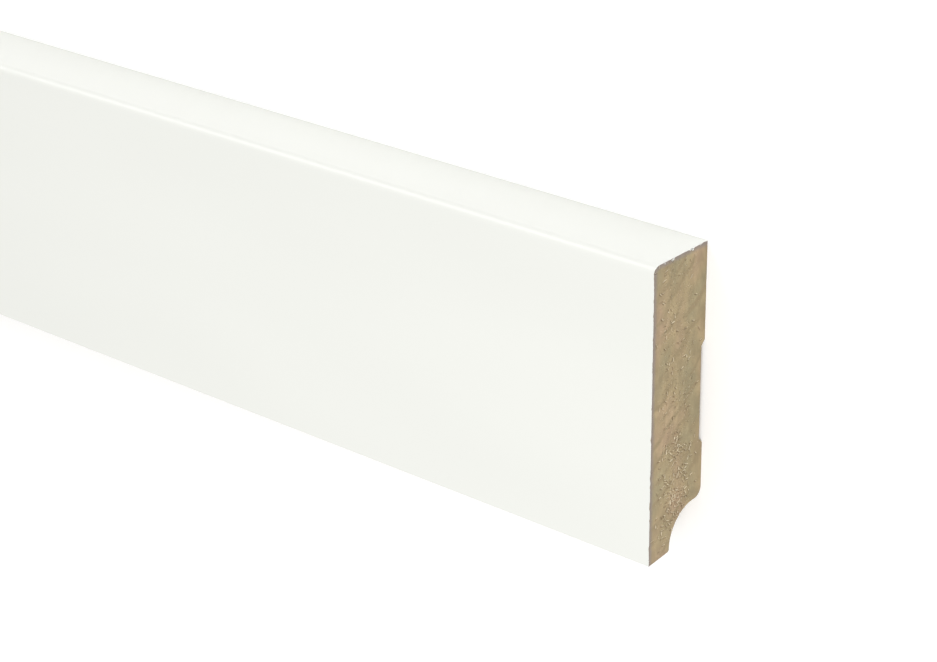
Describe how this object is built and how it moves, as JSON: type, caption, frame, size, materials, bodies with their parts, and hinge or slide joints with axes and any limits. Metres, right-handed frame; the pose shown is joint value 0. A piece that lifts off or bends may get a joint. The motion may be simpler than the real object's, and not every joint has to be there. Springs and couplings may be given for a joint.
{
  "type": "skirting board",
  "caption": "Length of white-coated fibreboard skirting with a flat face, a rounded top corner, a relieved back and a coved rebate behind a thin foot.",
  "frame": {"origin": "middle of the board's length and height, on the plane that the back's two pads rest on", "axes": "+X along the board, +Y from the foot to the top edge, +Z out of the finished face; the board is stored lying on its back"},
  "size_m": [2.4, 0.06, 0.016],
  "materials": {
    "white_coat": "satin",
    "bare_fibreboard": "matte"
  },
  "bodies": {
    "root": {"skirting_board": "white_coat"}
  },
  "joints": []
}
